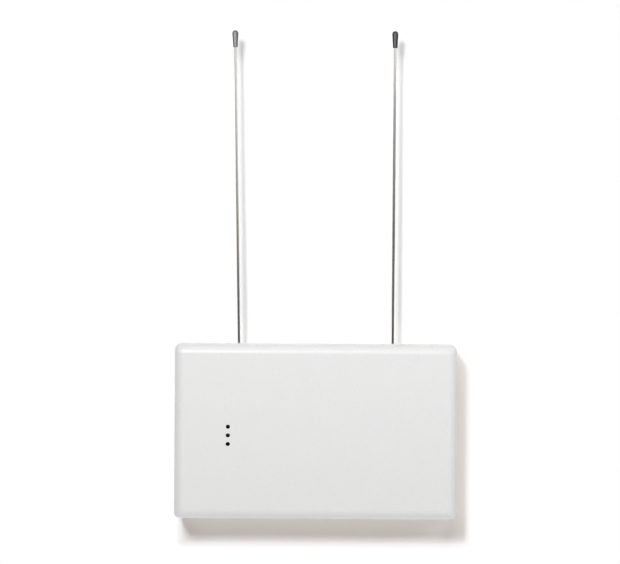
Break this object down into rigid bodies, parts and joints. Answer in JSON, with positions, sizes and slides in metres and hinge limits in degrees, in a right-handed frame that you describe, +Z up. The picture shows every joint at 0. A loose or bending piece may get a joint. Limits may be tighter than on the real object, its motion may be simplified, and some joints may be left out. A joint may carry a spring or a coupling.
{
  "type": "security sensor bridge",
  "caption": "Wall-mounted radio receiver in a white two-part moulded housing with two upright whip antennas and a column of status lights.",
  "frame": {"origin": "centre of the housing's flat back face, on the wall plane", "axes": "+X to the viewer's right, +Y into the wall, so the front faces -Y, and +Z up along the whips"},
  "size_m": [0.188, 0.036, 0.3265],
  "materials": {
    "housing_white": "white moulded plastic, fine satin gloss",
    "whip_steel": "bright drawn steel rod",
    "tip_rubber": "black moulded rubber",
    "board_laminate": "green solder mask over laminate",
    "tinned_metal": "tinned or zinc-plated metal",
    "terminal_brass": "machined brass",
    "black_plastic": "black moulded plastic",
    "lamp_lens": "smoky clear lamp resin, unlit",
    "terminal_green": "green terminal block plastic",
    "capacitor_sleeve": "dark blue shrink sleeve",
    "coil_ferrite": "dark grey ferrite"
  },
  "bodies": {
    "root": {"rear_housing": "housing_white", "front_cover": "housing_white", "circuit_board": "board_laminate", "board_screw_1": "tinned_metal", "board_screw_2": "tinned_metal", "board_screw_3": "tinned_metal", "board_screw_4": "tinned_metal", "whip_left_rod": "whip_steel", "whip_right_rod": "whip_steel", "whip_left_tip": "tip_rubber", "whip_right_tip": "tip_rubber", "antenna_terminal_left": "terminal_brass", "antenna_terminal_right": "terminal_brass", "antenna_screw_left": "tinned_metal", "antenna_screw_right": "tinned_metal", "led_holder": "black_plastic", "status_led_1": "lamp_lens", "status_led_2": "lamp_lens", "status_led_3": "lamp_lens", "radio_shield": "tinned_metal", "header_strip_1": "black_plastic", "header_strip_2": "black_plastic", "network_board": "board_laminate", "network_shield": "tinned_metal", "processor_chip": "black_plastic", "crystal_can": "tinned_metal", "voltage_regulator": "black_plastic", "power_coil": "coil_ferrite", "capacitor_1": "capacitor_sleeve", "capacitor_2": "capacitor_sleeve", "capacitor_3": "capacitor_sleeve", "terminal_block": "terminal_green", "terminal_screw_1": "tinned_metal", "terminal_screw_2": "tinned_metal", "terminal_screw_3": "tinned_metal", "terminal_screw_4": "tinned_metal"}
  },
  "joints": []
}
